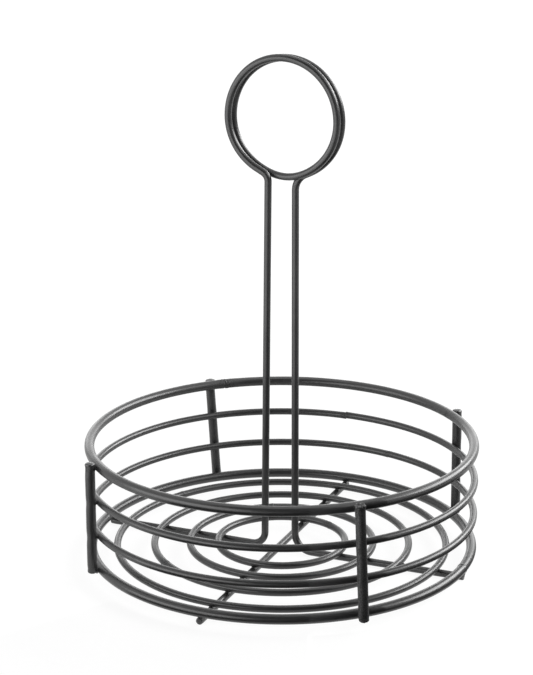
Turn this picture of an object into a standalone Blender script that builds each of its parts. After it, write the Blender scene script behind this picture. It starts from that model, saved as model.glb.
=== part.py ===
# Round condiment holder welded from coated wire, with a tall handle ending in a two-turn loop.
#
# Fourteen wires in two gauges. A handle wire and a cross wire lie on the table in an X-Y cross. Four floor
# rings and the base ring sit on that cross, and four uprights outside the wall carry two hoops and the rim.
# X runs along the handle's legs, Y along the cross wire and Z up. The origin is on the table, on the rack's
# axis.

import math

import bmesh
import bpy
from mathutils import Matrix, Vector

# Wire gauges, over the coating
FINE_WIRE = 0.0034               # handle, cross wire, floor rings and wall hoops
STOUT_WIRE = 0.0047              # rim, base ring and uprights
WELD_GAP = 0.0003                # left between two wires where a weld joins them
END_CHAMFER = 0.0005             # rounded-over edge of a sheared wire end

# Wall
RIM_RADIUS = 0.0950              # centre line of the rim and of the base ring
RIM_RISE = 0.0530                # base ring's centre up to the rim's centre
UPRIGHTS = {                     # degrees about Z at rim and base, top above rim, foot above base underside
    "upright_front_left": (-133.6, -133.9, 0.0005, 0.0016),
    "upright_front_right": (-46.9, -45.4, 0.0004, 0.0004),
    "upright_back_right": (47.5, 47.0, -0.0008, 0.0004),
    "upright_back_left": (135.3, 133.2, -0.0010, 0.0004),
}

# Floor, from the base ring inwards
BASE_FLOOR_GAP = 0.00855         # clear between the base ring and floor ring 4
FLOOR_GAP_43 = 0.0152            # clear between floor rings 4 and 3
FLOOR_GAP_32 = 0.0144            # clear between floor rings 3 and 2
FLOOR_GAP_21 = 0.0107            # clear between floor rings 2 and 1
CROSS_FRONT_INSET = 0.0013       # cross wire's front end inside the base ring's outer edge
CROSS_BACK_INSET = 0.0005        # cross wire's back end, likewise
CROSS_OFFSET = -0.0016           # cross wire beside the rack's axis, towards the left post

# Handle
HANDLE_HEIGHT = 0.2510           # table to the top of the loop
LOOP_RADIUS = 0.0277             # centre line of the loop's turns
LOOP_RISE = 0.0013               # by which the loop's upper half is taller than round
LOOP_TURN_GAP = 0.0014           # clear between the loop's front turn and its back turn
LOOP_OFFSET = 0.00105            # front turn's centre beside the rack's axis
BACK_TURN_SHIFT = 0.00055        # back turn's centre to the right of the front turn's
BACK_TURN_DROP = 0.0006          # back turn's centre below the front turn's
POST_TOP_SPACING = 0.0121        # between the posts' centres under the loop
POST_FOOT_SPACING = 0.0164       # between the posts' centres at the floor
POST_FOOT_OFFSET = -0.0009       # middle of the posts' feet beside the rack's axis
LEG_END_INSET = 0.0015           # leg ends inside the base ring's outer edge
LEFT_FOOT_BEND_RADIUS = 0.0070   # centre line, left post to leg
RIGHT_FOOT_BEND_RADIUS = 0.0090  # centre line, right post to leg
LEFT_NECK_BEND_RADIUS = 0.0050   # centre line, left post to loop
RIGHT_NECK_BEND_RADIUS = 0.0086  # centre line, right post to loop
LEFT_NECK_ANGLE = 28.0           # degrees from the loop's bottom to where the left post's neck leaves it
RIGHT_NECK_ANGLE = 25.0          # the same for the right post's neck
CROSSOVER_ANGLE = 32.0           # degrees either side of the bottom in which the front turn goes to the back

# Facets
WIRE_SIDES = 12
RING_STEP = 0.0083               # length of a ring's straight facets
MIN_RING_FACETS = 28
LOOP_STEP = 9.0                  # degrees
BEND_STEPS = 6

# Coating
COAT_COLOUR = (0.034, 0.034, 0.0345, 1.0)
COAT_ROUGHNESS = 0.38
COAT_METALLIC = 0.0

FINE_HALF = FINE_WIRE / 2
STOUT_HALF = STOUT_WIRE / 2
LEG_Z = FINE_HALF
SEAT_Z = FINE_WIRE + WELD_GAP    # underside of the rings that the legs and the cross wire carry
FLOOR_Z = SEAT_Z + FINE_HALF
BASE_Z = SEAT_Z + STOUT_HALF
RIM_Z = BASE_Z + RIM_RISE
WALL_OUTSIDE = RIM_RADIUS + STOUT_HALF
HOOP_RADIUS = WALL_OUTSIDE - FINE_HALF
FLOOR_RING_4_RADIUS = RIM_RADIUS - STOUT_HALF - BASE_FLOOR_GAP - FINE_HALF
FLOOR_RING_3_RADIUS = FLOOR_RING_4_RADIUS - FLOOR_GAP_43 - FINE_WIRE
FLOOR_RING_2_RADIUS = FLOOR_RING_3_RADIUS - FLOOR_GAP_32 - FINE_WIRE
FLOOR_RING_1_RADIUS = FLOOR_RING_2_RADIUS - FLOOR_GAP_21 - FINE_WIRE
LOOP_PITCH = FINE_WIRE + LOOP_TURN_GAP
UPRIGHT_RADIUS = WALL_OUTSIDE + WELD_GAP + STOUT_HALF


def clear_scene():
    for obj in list(bpy.data.objects):
        bpy.data.objects.remove(obj, do_unlink=True)


def coating(name):
    material = bpy.data.materials.new(name + "_coat")
    material.use_nodes = True
    material.diffuse_color = COAT_COLOUR
    shader = material.node_tree.nodes["Principled BSDF"]
    shader.inputs["Base Color"].default_value = COAT_COLOUR
    shader.inputs["Roughness"].default_value = COAT_ROUGHNESS
    shader.inputs["Metallic"].default_value = COAT_METALLIC
    return material


def section(bm, centre, tangent, facing, half_width):
    # One polygon of verts round the wire, with a flat towards facing and half_width to each flat
    across = (facing - tangent * facing.dot(tangent)).normalized()
    beside = tangent.cross(across)
    reach = half_width / math.cos(math.pi / WIRE_SIDES)
    ring = []
    for k in range(WIRE_SIDES):
        turn = (k + 0.5) * math.tau / WIRE_SIDES
        offset = across * math.cos(turn) + beside * math.sin(turn)
        ring.append(bm.verts.new(centre + offset * reach))
    return ring


def skin(bm, first, second):
    count = len(first)
    for k in range(count):
        after = (k + 1) % count
        bm.faces.new((first[k], first[after], second[after], second[k]))


def add_wire(name, parent, path, facing, diameter, closed=False):
    # Lofts a wire along a path: a closed ring, or an open wire whose two ends are chamfered and capped
    half = diameter / 2
    count = len(path)
    bm = bmesh.new()
    rings = []
    for k, point in enumerate(path):
        before = path[k - 1] if k or closed else point
        after = path[(k + 1) % count] if k < count - 1 or closed else point
        tangent = (after - before).normalized()
        if not closed and k == 0:
            rings.append(section(bm, point, tangent, facing, half - END_CHAMFER))
            rings.append(section(bm, point + tangent * END_CHAMFER, tangent, facing, half))
        elif not closed and k == count - 1:
            rings.append(section(bm, point - tangent * END_CHAMFER, tangent, facing, half))
            rings.append(section(bm, point, tangent, facing, half - END_CHAMFER))
        else:
            rings.append(section(bm, point, tangent, facing, half))
    for first, second in zip(rings, rings[1:]):
        skin(bm, first, second)
    if closed:
        skin(bm, rings[-1], rings[0])
    else:
        bm.faces.new(list(reversed(rings[0])))
        bm.faces.new(rings[-1])
    bmesh.ops.recalc_face_normals(bm, faces=bm.faces)
    mesh = bpy.data.meshes.new(name)
    bm.to_mesh(mesh)
    bm.free()
    mesh.shade_smooth()
    mesh.set_sharp_from_angle(angle=math.radians(50))
    mesh.materials.append(coating(name))
    obj = bpy.data.objects.new(name, mesh)
    obj.parent = parent
    bpy.context.scene.collection.objects.link(obj)
    return obj


def add_ring(name, parent, radius, height, diameter):
    # The facet count is a multiple of four, so that the ring reaches equally far along X and Y
    facets = 4 * max(round(math.tau * radius / RING_STEP / 4), MIN_RING_FACETS // 4)
    path = []
    for k in range(facets):
        turn = k * math.tau / facets
        path.append(Vector((radius * math.cos(turn), radius * math.sin(turn), height)))
    add_wire(name, parent, path, Vector((0, 0, 1)), diameter, closed=True)


def add_wall(parent):
    add_ring("base_ring", parent, RIM_RADIUS, BASE_Z, STOUT_WIRE)
    add_ring("lower_hoop", parent, HOOP_RADIUS, BASE_Z + RIM_RISE / 3, FINE_WIRE)
    add_ring("upper_hoop", parent, HOOP_RADIUS, BASE_Z + RIM_RISE * 2 / 3, FINE_WIRE)
    add_ring("rim_ring", parent, RIM_RADIUS, RIM_Z, STOUT_WIRE)
    for name, (rim_bearing, base_bearing, top_rise, foot_rise) in UPRIGHTS.items():
        rim_turn = Matrix.Rotation(math.radians(rim_bearing), 3, "Z")
        base_turn = Matrix.Rotation(math.radians(base_bearing), 3, "Z")
        foot = base_turn @ Vector((UPRIGHT_RADIUS, 0, BASE_Z - STOUT_HALF + foot_rise))
        top = rim_turn @ Vector((UPRIGHT_RADIUS, 0, RIM_Z + STOUT_HALF + top_rise))
        outward = Vector((foot.x + top.x, foot.y + top.y, 0)).normalized()
        add_wire(name, parent, [foot, top], outward, STOUT_WIRE)


def add_floor(parent):
    add_ring("floor_ring_1", parent, FLOOR_RING_1_RADIUS, FLOOR_Z, FINE_WIRE)
    add_ring("floor_ring_2", parent, FLOOR_RING_2_RADIUS, FLOOR_Z, FINE_WIRE)
    add_ring("floor_ring_3", parent, FLOOR_RING_3_RADIUS, FLOOR_Z, FINE_WIRE)
    add_ring("floor_ring_4", parent, FLOOR_RING_4_RADIUS, FLOOR_Z, FINE_WIRE)
    front = Vector((CROSS_OFFSET, CROSS_FRONT_INSET - WALL_OUTSIDE, LEG_Z))
    back = Vector((CROSS_OFFSET, WALL_OUTSIDE - CROSS_BACK_INSET, LEG_Z))
    add_wire("cross_wire", parent, [front, back], Vector((0, 0, 1)), FINE_WIRE)


def bend(before, corner, after, radius):
    # Points of the arc of that radius that rounds a corner of the centre line
    to_before = (before - corner).normalized()
    to_after = (after - corner).normalized()
    half_opening = to_before.angle(to_after) / 2
    middle = (to_before + to_after).normalized()
    centre = corner + middle * (radius / math.sin(half_opening))
    start = corner + to_before * (radius / math.tan(half_opening)) - centre
    finish = corner + to_after * (radius / math.tan(half_opening)) - centre
    axis = start.cross(finish).normalized()
    sweep = start.angle(finish)
    points = []
    for k in range(BEND_STEPS + 1):
        turn = Matrix.Rotation(sweep * k / BEND_STEPS, 3, axis)
        points.append(centre + turn @ start)
    return points


def loop_point(degrees):
    # Point on the two-turn loop, that many degrees on from its bottom: up the left side, over the top and
    # down the right. Near the second pass of the bottom the wire moves from the front turn to the back one.
    turn = math.radians(degrees)
    centre_z = HANDLE_HEIGHT - FINE_HALF - LOOP_RISE - LOOP_RADIUS
    passed = (degrees - 360 + CROSSOVER_ANGLE) / (2 * CROSSOVER_ANGLE)
    passed = min(max(passed, 0.0), 1.0)
    blend = passed * passed * (3 - 2 * passed)
    x = LOOP_OFFSET + BACK_TURN_SHIFT * blend - LOOP_RADIUS * math.sin(turn)
    z = centre_z - BACK_TURN_DROP * blend - LOOP_RADIUS * math.cos(turn)
    if math.cos(turn) < 0:
        z -= LOOP_RISE * math.cos(turn)
    return Vector((x, LOOP_PITCH * (blend - 0.5), z))


def neck_corner(point, slope, post_x):
    # Where the loop's tangent at that point, falling at slope degrees, meets its post
    run = abs(post_x - point.x)
    return Vector((post_x, point.y, point.z - run * math.tan(math.radians(slope))))


def handle_path():
    reach = WALL_OUTSIDE - LEG_END_INSET
    half_foot = POST_FOOT_SPACING / 2
    half_top = POST_TOP_SPACING / 2
    first = LEFT_NECK_ANGLE
    last = 720 - RIGHT_NECK_ANGLE
    steps = math.ceil((last - first) / LOOP_STEP)
    loop = [loop_point(first + (last - first) * k / steps) for k in range(steps + 1)]
    left_end = Vector((-reach, 0, LEG_Z))
    left_foot = Vector((POST_FOOT_OFFSET - half_foot, 0, LEG_Z))
    left_neck = neck_corner(loop[0], LEFT_NECK_ANGLE, -half_top)
    right_neck = neck_corner(loop[-1], RIGHT_NECK_ANGLE, half_top)
    right_foot = Vector((POST_FOOT_OFFSET + half_foot, 0, LEG_Z))
    right_end = Vector((reach, 0, LEG_Z))
    path = [left_end]
    path += bend(left_end, left_foot, left_neck, LEFT_FOOT_BEND_RADIUS)
    path += bend(left_foot, left_neck, loop[0], LEFT_NECK_BEND_RADIUS)
    path += loop
    path += bend(loop[-1], right_neck, right_foot, RIGHT_NECK_BEND_RADIUS)
    path += bend(right_neck, right_foot, right_end, RIGHT_FOOT_BEND_RADIUS)
    path.append(right_end)
    return path


def least_gap(path, diameter):
    # Least clear distance between stretches of the wire that are well apart along it, on close points
    spacing = diameter / 4
    apart = 24
    points = []
    for start, finish in zip(path, path[1:]):
        count = max(1, math.ceil((finish - start).length / spacing))
        points += [start.lerp(finish, k / count) for k in range(count)]
    least = math.inf
    for k, point in enumerate(points):
        for other in points[k + apart:]:
            least = min(least, (other - point).length)
    return least - diameter


def add_handle(parent):
    path = handle_path()
    add_wire("handle_wire", parent, path, Vector((0, 1, 0)), FINE_WIRE)
    print("handle_wire: least gap between its turns %.2f mm" % (1000 * least_gap(path, FINE_WIRE)))


clear_scene()
rack = bpy.data.objects.new("condiment_rack", None)
bpy.context.scene.collection.objects.link(rack)
add_floor(rack)
add_wall(rack)
add_handle(rack)
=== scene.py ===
import math

import bmesh
import bpy
from mathutils import Matrix, Vector, kdtree, noise


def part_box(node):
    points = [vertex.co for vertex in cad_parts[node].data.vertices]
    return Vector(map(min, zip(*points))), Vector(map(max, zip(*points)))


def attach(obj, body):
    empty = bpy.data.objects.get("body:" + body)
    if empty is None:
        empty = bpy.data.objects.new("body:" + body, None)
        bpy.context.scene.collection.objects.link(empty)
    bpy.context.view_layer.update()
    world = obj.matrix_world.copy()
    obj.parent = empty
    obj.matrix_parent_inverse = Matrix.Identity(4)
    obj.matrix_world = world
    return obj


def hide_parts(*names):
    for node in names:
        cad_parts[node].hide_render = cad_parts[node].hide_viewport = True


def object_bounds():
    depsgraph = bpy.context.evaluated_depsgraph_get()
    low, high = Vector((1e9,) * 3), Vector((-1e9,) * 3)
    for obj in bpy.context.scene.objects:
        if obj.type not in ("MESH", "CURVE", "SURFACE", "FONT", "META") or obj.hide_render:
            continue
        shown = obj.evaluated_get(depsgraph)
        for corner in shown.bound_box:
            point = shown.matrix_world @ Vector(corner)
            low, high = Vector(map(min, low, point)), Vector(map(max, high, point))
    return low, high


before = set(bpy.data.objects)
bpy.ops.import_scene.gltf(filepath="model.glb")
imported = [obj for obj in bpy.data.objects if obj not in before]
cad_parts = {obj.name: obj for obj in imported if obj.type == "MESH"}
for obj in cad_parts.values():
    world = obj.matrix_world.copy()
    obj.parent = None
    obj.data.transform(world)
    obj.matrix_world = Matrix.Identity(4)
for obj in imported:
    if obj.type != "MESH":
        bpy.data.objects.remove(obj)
cadLow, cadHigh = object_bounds()
mm = 0.001
up = Vector((0, 0, 1))
print("frame: %d wires, %.1f mm high" % (len(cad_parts), (cadHigh.z - cadLow.z) / mm))


# Coating: satin black powder over steel wire, one finish for every wire

coat = {
    "deep": (0.0195, 0.0195, 0.0199, 1),   # where the powder lies thick
    "thin": (0.0265, 0.0265, 0.0269, 1),   # where it lies thin
    "dust": (0.0480, 0.0480, 0.0485, 1),   # fine dust on what faces up
    "dustShare": 0.30,
    "dustFacing": (0.35, 1.0),             # upward part of the normal, from no dust to all of it
    "dustGrain": (0.40, 0.62),             # grain noise from the least dust to all of it
    "dustLeast": 0.2,
    "scuff": (0.2600, 0.2600, 0.2640, 1),  # rubbed edges of cut ends
    "scuffSize": 0.55 * mm,
    "scuffGrain": (0.50, 0.60),
    "index": 1.58,                         # refractive index of the powder
    "roughLeast": 0.28,
    "roughMost": 0.36,
    "roughPatch": (0.30, 0.70),            # patch noise from rough to smooth
    "weldRough": 0.16,                     # added beside the welds
    "patchSize": 16 * mm,                  # slow change of thickness
    "patchRange": (0.35, 0.65),            # patch noise from thick to thin
    "peelSize": 0.85 * mm,                 # orange peel
    "peelDepth": 0.004 * mm,
    "grainSize": 0.22 * mm,                # powder grain
    "grainDepth": 0.0015 * mm,
    "paintedShade": (0.0020, 0.0020, 0.0020, 1),  # painted shade: dark mottling over welds and seams, standing in for the shade among their lumps
    "paintedShadeGrain": (0.42, 0.58),
    "paintedShadeMost": 0.9,
    "paintedShadeRough": 0.45,                    # roughness added where the shade is painted
    "spatterSize": 0.60 * mm,              # lumpy powder over the welds
    "spatterDepth": 0.090 * mm,
}


def addNode(tree, kind, sockets=(), **settings):
    made = tree.nodes.new(kind)
    for key, value in settings.items():
        setattr(made, key, value)
    for key, value in dict(sockets).items():
        made.inputs[key].default_value = value
    return made


def noiseNode(tree, coords, size, detail):
    made = addNode(tree, "ShaderNodeTexNoise", {"Scale": 1 / size, "Detail": detail})
    tree.links.new(coords.outputs["Object"], made.inputs["Vector"])
    return made.outputs["Fac"]


def rangeNode(tree, value, span, toLow, toHigh):
    sockets = {"From Min": span[0], "From Max": span[1], "To Min": toLow, "To Max": toHigh}
    made = addNode(tree, "ShaderNodeMapRange", sockets)
    tree.links.new(value, made.inputs["Value"])
    return made.outputs["Result"]


def mathNode(tree, operation, first, second):
    made = addNode(tree, "ShaderNodeMath", operation=operation)
    for value, socket in ((first, made.inputs[0]), (second, made.inputs[1])):
        if isinstance(value, (int, float)):
            socket.default_value = value
        else:
            tree.links.new(value, socket)
    return made.outputs[0]


def mixColour(tree, share, first, second):
    # a mix node keeps its colours in inputs 6 and 7 and in output 2
    made = addNode(tree, "ShaderNodeMix", data_type="RGBA")
    tree.links.new(share, made.inputs[0])
    for value, socket in ((first, made.inputs[6]), (second, made.inputs[7])):
        if isinstance(value, tuple):
            socket.default_value = value
        else:
            tree.links.new(value, socket)
    return made.outputs[2]


def bumpNode(tree, height, depth, below=None):
    made = addNode(tree, "ShaderNodeBump", {"Strength": 1.0, "Distance": depth})
    tree.links.new(height, made.inputs["Height"])
    if below:
        tree.links.new(below, made.inputs["Normal"])
    return made.outputs["Normal"]


def satinBlackCoat():
    made = bpy.data.materials.new("satinBlackCoat")
    made.use_nodes = True
    tree = made.node_tree
    shader = tree.nodes["Principled BSDF"]
    shader.inputs["IOR"].default_value = coat["index"]
    coords = addNode(tree, "ShaderNodeTexCoord")
    facing = addNode(tree, "ShaderNodeNewGeometry")
    facingParts = addNode(tree, "ShaderNodeSeparateXYZ")
    tree.links.new(facing.outputs["Normal"], facingParts.inputs[0])
    weldMark = addNode(tree, "ShaderNodeAttribute", attribute_name="weldMark").outputs["Fac"]
    scuffMark = addNode(tree, "ShaderNodeAttribute", attribute_name="scuffMark").outputs["Fac"]
    patch = noiseNode(tree, coords, coat["patchSize"], 4)
    peel = noiseNode(tree, coords, coat["peelSize"], 1)
    grain = noiseNode(tree, coords, coat["grainSize"], 2)
    rub = noiseNode(tree, coords, coat["scuffSize"], 3)

    thinShare = rangeNode(tree, patch, coat["patchRange"], 0, 1)
    colour = mixColour(tree, thinShare, coat["deep"], coat["thin"])
    topSide = rangeNode(tree, facingParts.outputs["Z"], coat["dustFacing"], 0, coat["dustShare"])
    settled = rangeNode(tree, grain, coat["dustGrain"], coat["dustLeast"], 1)
    dustShare = mathNode(tree, "MULTIPLY", topSide, settled)
    colour = mixColour(tree, dustShare, colour, coat["dust"])
    spatter = noiseNode(tree, coords, coat["spatterSize"], 2)
    # painted shade: a near-black mottle over welds and seams, standing in for the shade among their lumps
    mottled = rangeNode(tree, spatter, coat["paintedShadeGrain"], coat["paintedShadeMost"], 0)
    paintedShadeShare = mathNode(tree, "MULTIPLY", weldMark, mottled)
    colour = mixColour(tree, paintedShadeShare, colour, coat["paintedShade"])
    rubbed = rangeNode(tree, rub, coat["scuffGrain"], 0, 1)
    rubShare = mathNode(tree, "MULTIPLY", scuffMark, rubbed)
    colour = mixColour(tree, rubShare, colour, coat["scuff"])
    tree.links.new(colour, shader.inputs["Base Color"])

    rough = rangeNode(tree, patch, coat["roughPatch"], coat["roughMost"], coat["roughLeast"])
    for share, added in ((weldMark, coat["weldRough"]), (paintedShadeShare, coat["paintedShadeRough"])):
        rough = mathNode(tree, "ADD", rough, mathNode(tree, "MULTIPLY", share, added))
    tree.links.new(rough, shader.inputs["Roughness"])

    relief = bumpNode(tree, peel, coat["peelDepth"])
    relief = bumpNode(tree, grain, coat["grainDepth"], relief)
    lumps = mathNode(tree, "MULTIPLY", spatter, weldMark)
    relief = bumpNode(tree, lumps, coat["spatterDepth"], relief)
    tree.links.new(relief, shader.inputs["Normal"])
    return made


coatMaterial = satinBlackCoat()
print("coating made")


# Places of the wires, read from the frame

floorNodes = ["floor_ring_1", "floor_ring_2", "floor_ring_3", "floor_ring_4"]
wallNodes = ["base_ring", "lower_hoop", "upper_hoop", "rim_ring"]
ringNodes = floorNodes + wallNodes
seatNodes = floorNodes + ["base_ring"]   # the rings that lie on the legs and the cross wire
uprightNodes = ["upright_front_left", "upright_front_right",
                "upright_back_right", "upright_back_left"]
endBand = 0.3 * mm          # of an upright's height, in which its end's corners lie


def ringPlace(node):
    low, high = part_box(node)
    half = (high[2] - low[2]) / 2
    return {"radius": high[0] - half, "height": low[2] + half, "half": half}


def uprightPlace(node):
    corners = [vert.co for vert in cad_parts[node].data.vertices]
    lowest = min(corner.z for corner in corners)
    highest = max(corner.z for corner in corners)
    feet = [corner for corner in corners if corner.z < lowest + endBand]
    tops = [corner for corner in corners if corner.z > highest - endBand]
    return {"foot": sum(feet, Vector()) / len(feet), "top": sum(tops, Vector()) / len(tops)}


def bearingPoint(radius, bearing, height):
    return Vector((radius * math.cos(bearing), radius * math.sin(bearing), height))


rings = {node: ringPlace(node) for node in ringNodes}
uprights = {node: uprightPlace(node) for node in uprightNodes}
crossLow, crossHigh = [Vector(corner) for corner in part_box("cross_wire")]
handleLow, handleHigh = [Vector(corner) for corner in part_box("handle_wire")]
fineHalf = (crossHigh.z - crossLow.z) / 2
stoutHalf = rings["rim_ring"]["half"]
middleHalf = (fineHalf + stoutHalf) / 2   # tells fine wires from stout ones
seatGap = rings["base_ring"]["height"] - stoutHalf - crossHigh.z  # from the legs to the rings on them


# Welds: where each is, the way from the wire that owns it to the wire it holds, and both sizes

def listWelds():
    found = []
    for node, place in uprights.items():
        for ring in wallNodes:
            height = rings[ring]["height"]
            share = (height - place["foot"].z) / (place["top"].z - place["foot"].z)
            onAxis = place["foot"].lerp(place["top"], share)
            inward = Vector((-onAxis.x, -onAxis.y, 0)).normalized()
            along = (place["top"] - place["foot"]).normalized()
            found.append({"owner": node, "at": onAxis + inward * (stoutHalf + seatGap / 2),
                          "to": inward, "along": along, "pressed": ring == "rim_ring",
                          "ownHalf": stoutHalf, "otherHalf": rings[ring]["half"]})
    seatZ = crossHigh.z + seatGap / 2
    crossX = (crossLow.x + crossHigh.x) / 2
    for ring in seatNodes:
        radius = rings[ring]["radius"]
        crossY = math.sqrt(radius * radius - crossX * crossX)
        for side in (-1, 1):
            onLeg = Vector((side * radius, 0, seatZ))
            onCross = Vector((crossX, side * crossY, seatZ))
            for owner, spot, along in (("handle_wire", onLeg, Vector((1, 0, 0))),
                                       ("cross_wire", onCross, Vector((0, 1, 0)))):
                found.append({"owner": owner, "at": spot, "to": up, "along": along, "pressed": False,
                              "ownHalf": fineHalf, "otherHalf": rings[ring]["half"]})
    return found


welds = listWelds()
print("welds found:", len(welds))

# dull spots with painted shade: at every weld, and at the rim also on both wires' far sides, where the
# welder pressed
weldMarks = [weld["at"] for weld in welds]
for weld in welds:
    if weld["pressed"]:
        weldMarks.append(weld["at"] - weld["to"] * 2 * weld["ownHalf"])
        weldMarks.append(weld["at"] + weld["to"] * 2 * weld["otherHalf"])

weldShape = {
    "rise": 0.95 * mm,      # how far apart the two wires are where the fillet ends
    "waist": 0.50,          # how deep the fillet is drawn in, as a share of its rise
    "widest": 0.97,         # share of a wire's half width at which the fillet ends at the latest
    "uneven": 0.22,         # share by which the flash varies round the joint
    "unevenReach": 1.1 * mm,
    "unevenSize": 0.9 * mm,
    "lumpy": 0.05,          # share by which the fillet's surface varies
    "lumpySize": 0.5 * mm,
    "lumpySpan": 1 * mm,
    "columns": 28,
    "rows": 7,
    "searchSteps": 24,      # halvings in the search for the fillet's edge
    "sink": 0.10 * mm,      # how far the fillet's edges go into the wires
    "markReach": 2.6 * mm,  # how far the weld's dull halo, with its painted shade, goes
}
tiny = 1e-6


def wireDrop(half, aside):
    # how far a round wire falls away at a distance from its crest
    return half - math.sqrt(half ** 2 - aside ** 2)


def filletReach(weld, turn, rise):
    # distance from the joint's middle at which the two wires are that far apart, and how far each drops
    ownHalf, otherHalf = weld["ownHalf"], weld["otherHalf"]
    sideways, lengthways = abs(math.sin(turn)), abs(math.cos(turn))
    edge = min(ownHalf / max(sideways, tiny), otherHalf / max(lengthways, tiny))
    near, far = 0.0, weldShape["widest"] * edge
    for step in range(weldShape["searchSteps"]):
        middle = (near + far) / 2
        drop = wireDrop(ownHalf, middle * sideways) + wireDrop(otherHalf, middle * lengthways)
        if seatGap + drop < rise:
            near = middle
        else:
            far = middle
    return near, wireDrop(ownHalf, near * sideways), wireDrop(otherHalf, near * lengthways)


def addFillet(bm, weld):
    beside = weld["to"].cross(weld["along"]).normalized()
    columns, rows = weldShape["columns"], weldShape["rows"]
    grid = []
    for column in range(columns):
        turn = column * math.tau / columns
        way = weld["along"] * math.cos(turn) + beside * math.sin(turn)
        flashSpot = weld["at"] + way * weldShape["unevenReach"]
        flash = noise.noise(flashSpot / weldShape["unevenSize"])
        rise = weldShape["rise"] * (1 + weldShape["uneven"] * flash)
        outer, ownDrop, otherDrop = filletReach(weld, turn, rise)
        inner = filletReach(weld, turn, seatGap + (rise - seatGap) * weldShape["waist"])[0]
        lower = -seatGap / 2 - ownDrop - weldShape["sink"]
        upper = seatGap / 2 + otherDrop + weldShape["sink"]
        line = []
        for row in range(rows):
            across = 2 * row / (rows - 1) - 1
            reach = inner + (outer - inner) * across * across
            lumpSpot = weld["at"] + way * reach + weld["to"] * across * weldShape["lumpySpan"]
            reach *= 1 + weldShape["lumpy"] * noise.noise(lumpSpot / weldShape["lumpySize"])
            level = lower + (upper - lower) * (across + 1) / 2
            line.append(bm.verts.new(weld["at"] + way * reach + weld["to"] * level))
        grid.append(line)
    ownCore = bm.verts.new(weld["at"] - weld["to"] * weld["ownHalf"])
    otherCore = bm.verts.new(weld["at"] + weld["to"] * weld["otherHalf"])
    for column in range(columns):
        line, after = grid[column], grid[(column + 1) % columns]
        for row in range(rows - 1):
            bm.faces.new((line[row], after[row], after[row + 1], line[row + 1]))
        bm.faces.new((ownCore, after[0], line[0]))
        bm.faces.new((otherCore, line[-1], after[-1]))


# Wire making, shared by every piece

wireShape = {
    "fineSides": 24,
    "stoutSides": 28,
    "skin": 0.09 * mm,         # round wire outside the flats of the twelve-sided solid
    "ripple": 0.014 * mm,      # unevenness of the coated surface
    "rippleSize": 5 * mm,
    "sharpAngle": 55,          # degrees; sharper folds are not smoothed
}


def rippled(point):
    return wireShape["skin"] + wireShape["ripple"] * noise.noise(point / wireShape["rippleSize"])


def addSection(bm, centre, across, beside, sides, reachAt):
    made = []
    for side in range(sides):
        turn = side * math.tau / sides
        way = across * math.cos(turn) + beside * math.sin(turn)
        made.append(bm.verts.new(centre + way * reachAt(turn, way)))
    return made


def joinSections(bm, first, second):
    sides = len(first)
    for side in range(sides):
        after = (side + 1) % sides
        bm.faces.new((first[side], first[after], second[after], second[side]))


endShape = {
    "start": 1.7 * mm,         # length over which a sheared end spreads
    "clear": 1.2,              # of that length, kept free of the path's other points
    "collars": ((-1.25 * mm, 0.0), (-0.95 * mm, 0.1)),  # rows behind the edge, and their share of tearing
    "edgeSteps": 5,
    "edgeTorn": 0.2,           # share of tearing where the edge starts to round
    "edgeTornStep": 0.1,
    "faceRows": (0.75, 0.5, 0.25),  # shares of the cut face's radius
    "faceTorn": 0.9,
    "lumpSize": 1.3 * mm,      # unevenness of the lip
    "lumpMiddle": 0.40,
    "lipFade": 3,              # power with which the lip dies away across the face
    "tornSize": 0.75 * mm,     # unevenness of the torn face
    "tiltTurn": 0.7,           # radians round the wire, the way the cut slopes
    "rubSpots": 12,            # round the edge
}


def addCutEnd(bm, last, tip, outward, across, beside, half, cut):
    # a sheared end: swollen into an uneven lip, its edge rounded over, its face torn
    sides = len(last)
    edge = cut["edge"]
    steps = [(level, half, torn) for level, torn in endShape["collars"]]   # level, reach, tearing
    steps.append((-edge, half, endShape["edgeTorn"]))
    for step in range(1, endShape["edgeSteps"] + 1):
        angle = math.radians(90) * step / endShape["edgeSteps"]
        torn = endShape["edgeTorn"] + endShape["edgeTornStep"] * step
        steps.append((edge * (math.sin(angle) - 1), half - edge * (1 - math.cos(angle)), torn))
    inside = steps[-1][1] / half
    for share in endShape["faceRows"]:
        steps.append((cut["dome"] * (1 - share), half * inside * share, endShape["faceTorn"]))
    rows = [last]
    for level, reach, torn in steps:
        passed = min(1.0, max(0.0, 1 + level / endShape["start"]))
        spread = math.sin(math.radians(90) * passed)
        row = []
        for side in range(sides):
            turn = side * math.tau / sides
            way = across * math.cos(turn) + beside * math.sin(turn)
            swell = noise.noise((tip + way * half) / endShape["lumpSize"])
            lump = max(0.0, endShape["lumpMiddle"] + swell)
            lip = cut["lip"] * lump * spread * (reach / half) ** endShape["lipFade"]
            flat = tip + way * (reach + lip)
            tear = cut["torn"] * torn * noise.noise(flat / endShape["tornSize"])
            slope = cut["tilt"] * math.cos(turn - endShape["tiltTurn"]) * reach * passed
            row.append(bm.verts.new(flat + outward * (level + tear + slope)))
        rows.append(row)
    for first, second in zip(rows, rows[1:]):
        joinSections(bm, first, second)
    middle = bm.verts.new(tip + outward * cut["dome"])
    for side in range(sides):
        bm.faces.new((rows[-1][side], rows[-1][(side + 1) % sides], middle))


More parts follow.
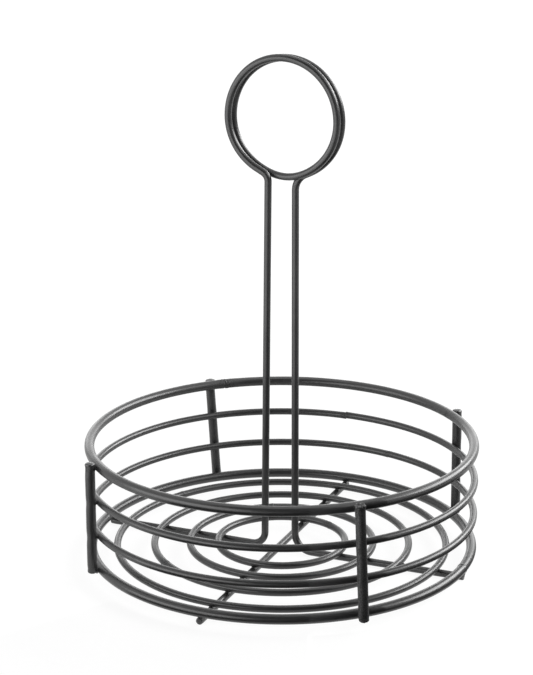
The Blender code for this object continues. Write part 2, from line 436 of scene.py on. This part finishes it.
def addOpenWire(bm, path, facing, half, sides, cuts, reachAt=None):
    # sweeps a round wire along a path; the path's two ends are its cut faces
    start = endShape["start"]
    ends = (path[0], path[-1])
    clear = endShape["clear"] * start
    inner = [point for point in path[1:-1] if min((point - end).length for end in ends) > clear]
    path = [ends[0]] + inner + [ends[1]]
    across = facing
    sections = []
    frames = []
    for index, point in enumerate(path):
        before = path[max(index - 1, 0)]
        after = path[min(index + 1, len(path) - 1)]
        tangent = (after - before).normalized()
        across = (across - tangent * across.dot(tangent)).normalized()
        beside = tangent.cross(across)
        centre = point
        if index == 0:
            centre = point + tangent * start
        elif index == len(path) - 1:
            centre = point - tangent * start
        frames.append((tangent, across, beside))

        def reach(turn, way, centre=centre):
            bare = half + rippled(centre + way * half)
            return bare + (reachAt(centre, turn) if reachAt else 0)

        sections.append(addSection(bm, centre, across, beside, sides, reach))
    for first, second in zip(sections, sections[1:]):
        joinSections(bm, first, second)
    for index, sign, cut in ((0, -1, cuts[0]), (-1, 1, cuts[1])):
        tangent, across, beside = frames[index]
        addCutEnd(bm, sections[index], path[index], tangent * sign, across, beside, half, cut)


def endEdge(tip, along, half):
    # spots round the edge of a cut end, where the coat is rubbed through
    across = along.orthogonal().normalized() * half
    spots = endShape["rubSpots"]
    return [tip + Matrix.Rotation(math.tau * k / spots, 3, along) @ across for k in range(spots)]


def nearness(mesh, points, reach):
    # for each vert, 1 at the points, fading to 0 at the reach
    if not points:
        return [0.0] * len(mesh.vertices)
    tree = kdtree.KDTree(len(points))
    for index, point in enumerate(points):
        tree.insert(point, index)
    tree.balance()
    return [max(0.0, 1 - (tree.find(vert.co)[2] / reach) ** 2) for vert in mesh.vertices]


def addPiece(name, bm, node, scuffs=(), scuffReach=1.0, seam=(), seamReach=1.0, grain=0.0):
    # grain is the least weld mark, for a wire that is lumpy and mottled with painted shade all over
    for weld in welds:
        if weld["owner"] == node:
            addFillet(bm, weld)
    bmesh.ops.recalc_face_normals(bm, faces=bm.faces)
    mesh = bpy.data.meshes.new(name)
    bm.to_mesh(mesh)
    bm.free()
    mesh.shade_smooth()
    mesh.set_sharp_from_angle(angle=math.radians(wireShape["sharpAngle"]))
    # the weld mark brings roughness, lumps and painted shade
    byWeld = nearness(mesh, weldMarks, weldShape["markReach"])
    bySeam = nearness(mesh, seam, seamReach)
    weldMark = [max(grain, *pair) for pair in zip(byWeld, bySeam)]
    scuffMark = nearness(mesh, scuffs, scuffReach)
    for markName, values in (("weldMark", weldMark), ("scuffMark", scuffMark)):
        mesh.attributes.new(markName, "FLOAT", "POINT").data.foreach_set("value", values)
    mesh.materials.append(coatMaterial)
    piece = bpy.data.objects.new(name, mesh)
    bpy.context.scene.collection.objects.link(piece)
    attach(piece, "root")
    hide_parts(node)


# Rings: each is one wire bent round and butt welded; seam in degrees, the other values in mm

ringPieces = {
    "floorRing1": {
        "node": "floor_ring_1", "seam": 62, "length": 2.2,
        "rough": 0.05, "step": 0.10, "bead": 0.08, "mark": 1.2,
    },
    "floorRing2": {
        "node": "floor_ring_2", "seam": 118, "length": 2.2,
        "rough": 0.05, "step": 0.12, "bead": 0.08, "mark": 1.2,
    },
    "floorRing3": {
        "node": "floor_ring_3", "seam": -129.7, "length": 2.4,
        "rough": 0.08, "step": 0.14, "bead": 0.10, "mark": 1.4,
    },
    "floorRing4": {
        "node": "floor_ring_4", "seam": 152, "length": 2.2,
        "rough": 0.05, "step": 0.12, "bead": 0.08, "mark": 1.2,
    },
    "baseRing": {
        "node": "base_ring", "seam": -0.4, "length": 3.0,
        "rough": 0.06, "step": 0.10, "bead": 0.14, "mark": 0.2,
    },
    "lowerHoop": {
        "node": "lower_hoop", "seam": 75.5, "length": 2.4,
        "rough": 0.03, "step": -0.14, "bead": 0.03, "mark": 0.6,
    },
    "upperHoop": {
        "node": "upper_hoop", "seam": 91, "length": 2.6,
        "rough": 0.04, "step": -0.40, "bead": 0.04, "mark": 1.2,
    },
    "rimRing": {
        "node": "rim_ring", "seam": 131.0, "length": 6.5,
        "rough": 0.34, "step": 0.06, "bead": 0.06, "mark": 2.6,
    },
}
ringSeam = {
    "beadWidth": 0.8 * mm,    # upset bead round the butt joint
    "settle": 9 * mm,         # length over which mismatched ends run true again
    "inward": 0.3,            # share of the mismatch that also goes inwards
    "margin": 2 * mm,         # past the seam, where the roughness ends and the steps are still fine
    "firstStep": 0.04 * mm,
    "fineStep": 0.35 * mm,
    "plainStep": 3.2 * mm,
    "roughSize": 0.62 * mm,
    "markAt": (-0.4, -0.2, 0, 0.2, 0.4),   # spots of the dull mark with its painted shade, as shares of the seam's length
}


def seamDistances(radius, length):
    # signed distances along the ring from its seam: close together at the seam, wide apart elsewhere
    halfway = math.pi * radius
    near = length / 2 + ringSeam["margin"]
    steps = math.ceil(near / ringSeam["fineStep"])
    one = [ringSeam["firstStep"] + near * k / steps for k in range(steps + 1)]
    plain = math.ceil((halfway - one[-1]) / ringSeam["plainStep"])
    one += [one[-1] + (halfway - one[-1]) * k / plain for k in range(1, plain + 1)]
    return one + [-value for value in reversed(one[:-1])]


def makeRing(name, look):
    place = rings[look["node"]]
    radius, half = place["radius"], place["half"]
    sides = wireShape["stoutSides"] if half > middleHalf else wireShape["fineSides"]
    seam = math.radians(look["seam"])
    length = look["length"] * mm
    bm = bmesh.new()
    sections = []
    for away in seamDistances(radius, length):
        bearing = seam + away / radius
        outward = Vector((math.cos(bearing), math.sin(bearing), 0))
        settled = math.exp(-abs(away) / ringSeam["settle"])
        mismatch = look["step"] * mm * math.copysign(0.5, away) * settled
        centre = bearingPoint(radius, bearing, place["height"])
        centre += up * mismatch - outward * mismatch * ringSeam["inward"]
        torn = look["rough"] * mm * max(0.0, 1 - (2 * away / (length + ringSeam["margin"])) ** 2)
        bead = look["bead"] * mm * math.exp(-(away / ringSeam["beadWidth"]) ** 2)

        def reach(turn, way, centre=centre, torn=torn, bead=bead):
            surface = centre + way * half
            rough = torn * noise.noise(surface / ringSeam["roughSize"])
            return half + rippled(surface) + bead + rough

        sections.append(addSection(bm, centre, outward, up, sides, reach))
    for first, second in zip(sections, sections[1:] + sections[:1]):
        joinSections(bm, first, second)
    along = [seam + share * length / radius for share in ringSeam["markAt"]]
    marked = [bearingPoint(radius, bearing, place["height"]) for bearing in along]
    addPiece(name, bm, look["node"], seam=marked, seamReach=half + look["mark"] * mm)


for ringName, ringLook in ringPieces.items():
    makeRing(ringName, ringLook)
print("rings made:", len(ringPieces))


# Uprights: straight lengths cut on a shear and squashed a little where the welder pressed them

stoutCut = {"edge": 0.55 * mm, "lip": 0.42 * mm, "torn": 0.42 * mm, "tilt": 0.05, "dome": 0.10 * mm}
roundCut = {"edge": 0.90 * mm, "lip": 0.15 * mm, "torn": 0.18 * mm, "tilt": 0.04, "dome": 0.22 * mm}
uprightPieces = {
    "uprightFrontLeft": {
        "node": "upright_front_left",
        "foot": roundCut,
        "top": roundCut,
        "grain": 0.0,
    },
    "uprightFrontRight": {
        "node": "upright_front_right",
        "foot": dict(stoutCut, edge=0.75 * mm, lip=0.25 * mm),
        "top": dict(stoutCut, edge=0.40 * mm, lip=0.95 * mm, torn=0.70 * mm),
        # the weld mark's lumps and painted shade spread over this whole wire
        "grain": 0.85,
    },
    "uprightBackRight": {
        "node": "upright_back_right",
        "foot": stoutCut,
        "top": dict(stoutCut, edge=0.95 * mm, lip=0.30 * mm, tilt=-0.10),
        "grain": 0.2,
    },
    "uprightBackLeft": {
        "node": "upright_back_left",
        "foot": stoutCut,
        "top": dict(stoutCut, lip=0.80 * mm, torn=0.25 * mm),
        "grain": 0.2,
    },
}
uprightShape = {
    "step": 0.9 * mm,
    "squash": 0.28 * mm,       # flattened outside each weld
    "swell": 0.12 * mm,        # and spread to both sides
    "squashLength": 2.4 * mm,
    "rub": 0.95 * mm,          # width of the rubbed edge of a cut end
}


def makeUpright(name, look):
    place = uprights[look["node"]]
    foot, top = place["foot"], place["top"]
    steps = math.ceil((top - foot).length / uprightShape["step"])
    path = [foot.lerp(top, k / steps) for k in range(steps + 1)]
    outward = Vector((foot.x + top.x, foot.y + top.y, 0)).normalized()
    pressed = [rings[ring]["height"] for ring in wallNodes]
    length = uprightShape["squashLength"]

    def squashed(centre, turn):
        amount = sum(math.exp(-((centre.z - height) / length) ** 2) for height in pressed)
        facingOut = max(0.0, math.cos(turn)) ** 2
        return amount * (uprightShape["swell"] * math.sin(turn) ** 2 - uprightShape["squash"] * facingOut)

    bm = bmesh.new()
    cuts = (look["foot"], look["top"])
    addOpenWire(bm, path, outward, stoutHalf, wireShape["stoutSides"], cuts, squashed)
    along = (top - foot).normalized()
    worn = endEdge(foot, along, stoutHalf) + endEdge(top, along, stoutHalf)
    addPiece(name, bm, look["node"], worn, uprightShape["rub"], grain=look["grain"])


for uprightName, uprightLook in uprightPieces.items():
    makeUpright(uprightName, uprightLook)
print("uprights made:", len(uprightPieces))


# Cross wire: a straight length under the floor rings

fineCut = {"edge": 0.45 * mm, "lip": 0.14 * mm, "torn": 0.16 * mm, "tilt": 0.05, "dome": 0.06 * mm}
fineRub = 0.6 * mm   # width of the rubbed edge of a cut end
crossShape = {"node": "cross_wire", "step": 3 * mm}


def makeCrossWire():
    x = (crossLow.x + crossHigh.x) / 2
    z = (crossLow.z + crossHigh.z) / 2
    front, back = Vector((x, crossLow.y, z)), Vector((x, crossHigh.y, z))
    steps = math.ceil((back - front).length / crossShape["step"])
    path = [front.lerp(back, k / steps) for k in range(steps + 1)]
    bm = bmesh.new()
    addOpenWire(bm, path, up, fineHalf, wireShape["fineSides"], (fineCut, fineCut))
    along = Vector((0, 1, 0))
    worn = endEdge(front, along, fineHalf) + endEdge(back, along, fineHalf)
    addPiece("crossWire", bm, crossShape["node"], worn, fineRub)


makeCrossWire()
print("cross wire made")


# Handle: one wire, leg, post, two turns of the loop, post and leg

handle = {
    "node": "handle_wire",
    "loopRadius": 27.7 * mm,
    "loopRise": 1.3 * mm,        # by which its upper half is taller than round
    "turnGap": 1.4 * mm,         # clear between the two turns
    "loopOffset": 1.05 * mm,
    "postTop": 12.1 * mm,        # between the posts under the loop
    "postFoot": 16.4 * mm,       # between the posts at the floor
    "footOffset": -0.9 * mm,
    "backShift": 0.55 * mm,      # back turn to the right of the front one
    "backDrop": 0.6 * mm,        # and lower
    "leftFootBend": 7.0 * mm,
    "rightFootBend": 9.0 * mm,
    "leftNeckBend": 5.0 * mm,
    "rightNeckBend": 8.6 * mm,
    "leftNeckAngle": 28,         # degrees from the loop's bottom
    "rightNeckAngle": 25,
    "crossover": 32,             # degrees either side of the bottom in which the turns change over
    "loopStep": 3,               # degrees
    "bendSteps": 12,
    "straightStep": 4 * mm,
}


def loopPoint(degrees):
    # up the left side from the bottom, over the top and down the right, twice
    turn = math.radians(degrees)
    centreZ = handleHigh.z - fineHalf - handle["loopRise"] - handle["loopRadius"]
    pitch = 2 * fineHalf + handle["turnGap"]
    passed = (degrees - 360 + handle["crossover"]) / (2 * handle["crossover"])
    passed = min(max(passed, 0.0), 1.0)
    blend = passed * passed * (3 - 2 * passed)
    x = handle["loopOffset"] + handle["backShift"] * blend - handle["loopRadius"] * math.sin(turn)
    z = centreZ - handle["backDrop"] * blend - handle["loopRadius"] * math.cos(turn)
    z += handle["loopRise"] * max(0.0, -math.cos(turn))
    return Vector((x, pitch * (blend - 0.5), z))


def bendPoints(before, corner, after, radius):
    toBefore = (before - corner).normalized()
    toAfter = (after - corner).normalized()
    halfOpening = toBefore.angle(toAfter) / 2
    middle = (toBefore + toAfter).normalized()
    centre = corner + middle * (radius / math.sin(halfOpening))
    start = corner + toBefore * (radius / math.tan(halfOpening)) - centre
    finish = corner + toAfter * (radius / math.tan(halfOpening)) - centre
    axis = start.cross(finish).normalized()
    sweep = start.angle(finish)
    steps = handle["bendSteps"]
    return [centre + Matrix.Rotation(sweep * k / steps, 3, axis) @ start for k in range(steps + 1)]


def neckCorner(point, slope, postX):
    run = abs(postX - point.x)
    return Vector((postX, point.y, point.z - run * math.tan(math.radians(slope))))


def filledIn(path, step):
    # more points along the straight stretches
    made = []
    for start, finish in zip(path, path[1:]):
        count = max(1, math.ceil((finish - start).length / step))
        made += [start.lerp(finish, k / count) for k in range(count)]
    return made + [path[-1]]


def handlePath():
    legZ = handleLow.z + fineHalf
    first, last = handle["leftNeckAngle"], 720 - handle["rightNeckAngle"]
    steps = math.ceil((last - first) / handle["loopStep"])
    loop = [loopPoint(first + (last - first) * k / steps) for k in range(steps + 1)]
    leftEnd = Vector((handleLow.x, 0, legZ))
    leftFoot = Vector((handle["footOffset"] - handle["postFoot"] / 2, 0, legZ))
    leftNeck = neckCorner(loop[0], handle["leftNeckAngle"], -handle["postTop"] / 2)
    rightNeck = neckCorner(loop[-1], handle["rightNeckAngle"], handle["postTop"] / 2)
    rightFoot = Vector((handle["footOffset"] + handle["postFoot"] / 2, 0, legZ))
    rightEnd = Vector((handleHigh.x, 0, legZ))
    path = [leftEnd]
    path += bendPoints(leftEnd, leftFoot, leftNeck, handle["leftFootBend"])
    path += bendPoints(leftFoot, leftNeck, loop[0], handle["leftNeckBend"])
    path += loop
    path += bendPoints(loop[-1], rightNeck, rightFoot, handle["rightNeckBend"])
    path += bendPoints(rightNeck, rightFoot, rightEnd, handle["rightFootBend"])
    path.append(rightEnd)
    return filledIn(path, handle["straightStep"])


def makeHandle():
    path = handlePath()
    bm = bmesh.new()
    addOpenWire(bm, path, Vector((0, 1, 0)), fineHalf, wireShape["fineSides"], (fineCut, fineCut))
    along = Vector((1, 0, 0))
    worn = endEdge(path[0], along, fineHalf) + endEdge(path[-1], along, fineHalf)
    addPiece("handleWire", bm, handle["node"], worn, fineRub)


makeHandle()
print("handle made")


# Camera: the photo's own viewpoint, for an image of 533 by 675

cameraView = {
    "bearing": -67.6,            # degrees, where the camera stands round the rack
    "reach": 0.9266,             # metres from the rack's axis
    "height": 0.3911,
    "heading": 22.859,           # degrees from +Y towards -X
    "pitch": -16.755,
    "roll": -0.094,
    "lens": 105.755,             # mm
    "sensor": 36,
    "clip": (0.01, 50),          # metres
}


# Studio: white floor and background, soft boxes, and sheets that the camera does not see: dark ones for
# the wires' front and right, glowing ones for the posts and the edges of the front uprights

studio = {
    "floorSize": 8.0,
    "floorColour": (0.62, 0.62, 0.62, 1),   # floor that throws light back on the object
    "floorSeen": (0.12, 0.12, 0.12, 1),     # floor that the camera and reflections see, with its shadow
    "floorLift": 0.92,                      # white added there, near the object
    "floorFade": (0.16, 0.60),              # metres from its axis over which the floor turns plain white
    "ambient": 0.23,                        # world's light on the object
    "aim": 0.35,                            # share of the object's height at which the lamps point
    "cardColumns": 48,
}
lamps = {   # bearing and elevation in degrees, metres and watts
    "backRightBox": {
        "bearing": 44, "elevation": 27, "distance": 1.30, "size": (1.40, 0.55), "power": 22.5,
    },
    "rightBox": {
        "bearing": -10, "elevation": 44, "distance": 1.30, "size": (0.50, 0.60), "power": 2.0,
    },
    "leftBox": {
        "bearing": 236, "elevation": 9, "distance": 1.20, "size": (1.75, 0.80), "power": 10.8,
    },
    "topBox": {
        "bearing": 120, "elevation": 84, "distance": 1.30, "size": (0.80, 0.80), "power": 1.5,
    },
    "backBox": {
        "bearing": 112, "elevation": 11, "distance": 3.20, "size": (4.00, 1.20), "power": 26.0,
    },
}
cards = {   # bearings in degrees, reach and height of the two edges in metres, grey or glow
    "nearCard": {
        "from": -120, "to": 36, "profile": ((0.101, 0.001), (0.26, 0.001)), "grey": 0.04, "blocks": True,
    },
    "farCard": {
        "from": -72, "to": 36, "profile": ((0.26, 0.001), (1.9, 0.001)), "grey": 0.50, "blocks": False,
    },
    "screen": {
        "from": -98, "to": -22, "profile": ((1.9, 0.001), (1.9, 1.4)), "grey": 0.25, "blocks": False,
    },
    "rightScreen": {
        "from": 8, "to": 66, "profile": ((1.9, 0.001), (1.9, 1.0)), "grey": 0.12, "blocks": False,
    },
    "glowCard": {
        "from": -150, "to": -80, "profile": ((0.262, 0.001), (0.90, 0.001)), "glow": 2.4, "blocks": False,
    },
    "canopy": {
        "from": -120, "to": -20, "profile": ((1.9, 1.4), (0.5, 1.9)), "grey": 0.08, "blocks": False,
    },
}
flags = {   # sheets outside the wall, clear from behind; metres right of the axis and towards the camera
    "leftFlag": {
        "aside": -0.079, "near": 0.0610, "far": 0.313, "low": 0, "high": 0.085, "faces": -1, "glow": 0.18,
    },
    "rightFlag": {
        "aside": 0.052, "near": 0.0866, "far": 0.337, "low": 0, "high": 0.085, "faces": -1, "glow": 0.01,
    },
    "glintFlag": {
        "aside": 0.012, "near": 0.1000, "far": 0.121, "low": 0, "high": 0.070, "faces": 1, "glow": 2.0,
    },
}


def seenShare(tree):
    # 1 for what the camera, a reflection or a clear body sees, 0 for the light that falls on things
    rays = addNode(tree, "ShaderNodeLightPath")
    seen = mathNode(tree, "MAXIMUM", rays.outputs["Is Camera Ray"], rays.outputs["Is Glossy Ray"])
    return mathNode(tree, "MAXIMUM", seen, rays.outputs["Is Transmission Ray"])


def floorMaterial():
    made = bpy.data.materials.new("paleFloor")
    made.use_nodes = True
    tree = made.node_tree
    tree.nodes.remove(tree.nodes["Principled BSDF"])
    plain = addNode(tree, "ShaderNodeBsdfDiffuse", {"Color": studio["floorColour"]})
    shaded = addNode(tree, "ShaderNodeBsdfDiffuse", {"Color": studio["floorSeen"]})
    lift = addNode(tree, "ShaderNodeEmission")
    place = addNode(tree, "ShaderNodeNewGeometry")
    away = addNode(tree, "ShaderNodeVectorMath", operation="LENGTH")
    tree.links.new(place.outputs["Position"], away.inputs[0])
    fade = rangeNode(tree, away.outputs["Value"], studio["floorFade"], studio["floorLift"], 1.0)
    tree.links.new(fade, lift.inputs["Strength"])
    lifted = addNode(tree, "ShaderNodeAddShader")
    chosen = addNode(tree, "ShaderNodeMixShader")
    tree.links.new(shaded.outputs[0], lifted.inputs[0])
    tree.links.new(lift.outputs[0], lifted.inputs[1])
    tree.links.new(seenShare(tree), chosen.inputs[0])
    tree.links.new(plain.outputs[0], chosen.inputs[1])
    tree.links.new(lifted.outputs[0], chosen.inputs[2])
    tree.links.new(chosen.outputs[0], tree.nodes["Material Output"].inputs["Surface"])
    return made


def makeFloor():
    bm = bmesh.new()
    bmesh.ops.create_grid(bm, x_segments=1, y_segments=1, size=studio["floorSize"] / 2)
    mesh = bpy.data.meshes.new("floor")
    bm.to_mesh(mesh)
    bm.free()
    mesh.materials.append(floorMaterial())
    floor = bpy.data.objects.new("floor", mesh)
    bpy.context.scene.collection.objects.link(floor)


def cardMaterial(name, colour):
    made = bpy.data.materials.new(name)
    made.use_nodes = True
    shader = made.node_tree.nodes["Principled BSDF"]
    shader.inputs["Base Color"].default_value = colour
    shader.inputs["Roughness"].default_value = 1.0
    return made


def addCard(name, bm, material, blocksLight):
    # shows in reflections, and in bounced light where blocksLight is set; the camera sees none of it
    mesh = bpy.data.meshes.new(name)
    bm.to_mesh(mesh)
    bm.free()
    mesh.materials.append(material)
    card = bpy.data.objects.new(name, mesh)
    bpy.context.scene.collection.objects.link(card)
    card.visible_camera = False
    card.visible_diffuse = blocksLight
    card.visible_shadow = False


def glowMaterial(name, glow):
    # shows its glow to one side and is clear from the other
    made = bpy.data.materials.new(name)
    made.use_nodes = True
    made.cycles.emission_sampling = "NONE"
    tree = made.node_tree
    tree.nodes.remove(tree.nodes["Principled BSDF"])
    sideSeen = addNode(tree, "ShaderNodeNewGeometry")
    shown = addNode(tree, "ShaderNodeEmission", {"Strength": glow})
    clear = addNode(tree, "ShaderNodeBsdfTransparent")
    chosen = addNode(tree, "ShaderNodeMixShader")
    tree.links.new(sideSeen.outputs["Backfacing"], chosen.inputs[0])
    tree.links.new(shown.outputs[0], chosen.inputs[1])
    tree.links.new(clear.outputs[0], chosen.inputs[2])
    tree.links.new(chosen.outputs[0], tree.nodes["Material Output"].inputs["Surface"])
    return made


def makeCards():
    # sheets swept round the rack from one bearing to another
    columns = studio["cardColumns"]
    for name, look in cards.items():
        bm = bmesh.new()
        lines = []
        for column in range(columns + 1):
            bearing = math.radians(look["from"] + (look["to"] - look["from"]) * column / columns)
            edges = [bearingPoint(reach, bearing, height) for reach, height in look["profile"]]
            lines.append([bm.verts.new(edge) for edge in edges])
        for line, after in zip(lines, lines[1:]):
            bm.faces.new((line[0], line[1], after[1], after[0]))
        if "glow" in look:
            material = glowMaterial(name, look["glow"])
        else:
            material = cardMaterial(name, (look["grey"],) * 3 + (1,))
        addCard(name, bm, material, look["blocks"])


def makeFlags():
    toCamera = bearingPoint(1, math.radians(cameraView["bearing"]), 0)
    toRight = bearingPoint(1, math.radians(cameraView["bearing"] + 90), 0)
    for name, look in flags.items():
        near = toRight * look["aside"] + toCamera * look["near"]
        far = toRight * look["aside"] + toCamera * look["far"]
        low, high = up * look["low"], up * look["high"]
        corners = [near + low, far + low, far + high, near + high]
        if look["faces"] > 0:   # to the right; as listed they face left
            corners.reverse()
        bm = bmesh.new()
        bm.faces.new([bm.verts.new(corner) for corner in corners])
        addCard(name, bm, glowMaterial(name, look["glow"]), True)


def makeWorld():
    world = bpy.data.worlds.new("whiteStudio")
    world.use_nodes = True
    tree = world.node_tree
    ambient = tree.nodes["Background"]
    ambient.inputs["Color"].default_value = (1, 1, 1, 1)
    ambient.inputs["Strength"].default_value = studio["ambient"]
    white = addNode(tree, "ShaderNodeBackground", {"Color": (1, 1, 1, 1), "Strength": 1.0})
    chosen = addNode(tree, "ShaderNodeMixShader")
    tree.links.new(seenShare(tree), chosen.inputs[0])
    tree.links.new(ambient.outputs[0], chosen.inputs[1])
    tree.links.new(white.outputs[0], chosen.inputs[2])
    tree.links.new(chosen.outputs[0], tree.nodes["World Output"].inputs["Surface"])
    bpy.context.scene.world = world


def makeLamps():
    target = Vector((0, 0, (cadLow.z + cadHigh.z) * studio["aim"]))
    for name, look in lamps.items():
        lamp = bpy.data.lights.new(name, "AREA")
        lamp.shape = "RECTANGLE"
        lamp.size, lamp.size_y = look["size"]
        lamp.energy = look["power"]
        bearing, elevation = math.radians(look["bearing"]), math.radians(look["elevation"])
        away = bearingPoint(math.cos(elevation), bearing, math.sin(elevation))
        holder = bpy.data.objects.new(name, lamp)
        holder.location = target + away * look["distance"]
        holder.rotation_euler = away.to_track_quat("Z", "Y").to_euler()
        holder.visible_camera = False
        bpy.context.scene.collection.objects.link(holder)


makeFloor()
makeCards()
makeFlags()
makeWorld()
makeLamps()
print("studio made")


def makeCamera():
    data = bpy.data.cameras.new("photoView")
    data.sensor_width = cameraView["sensor"]
    data.lens = cameraView["lens"]
    data.clip_start, data.clip_end = cameraView["clip"]
    camera = bpy.data.objects.new("photoView", data)
    bearing = math.radians(cameraView["bearing"])
    place = bearingPoint(cameraView["reach"], bearing, cameraView["height"])
    heading = Matrix.Rotation(math.radians(cameraView["heading"]), 4, "Z")
    pitch = Matrix.Rotation(math.radians(90 + cameraView["pitch"]), 4, "X")
    roll = Matrix.Rotation(math.radians(cameraView["roll"]), 4, "Z")
    camera.matrix_world = Matrix.Translation(place) @ heading @ pitch @ roll
    bpy.context.scene.collection.objects.link(camera)
    bpy.context.scene.camera = camera


makeCamera()
bpy.context.scene.view_settings.view_transform = "Standard"
print("camera set")
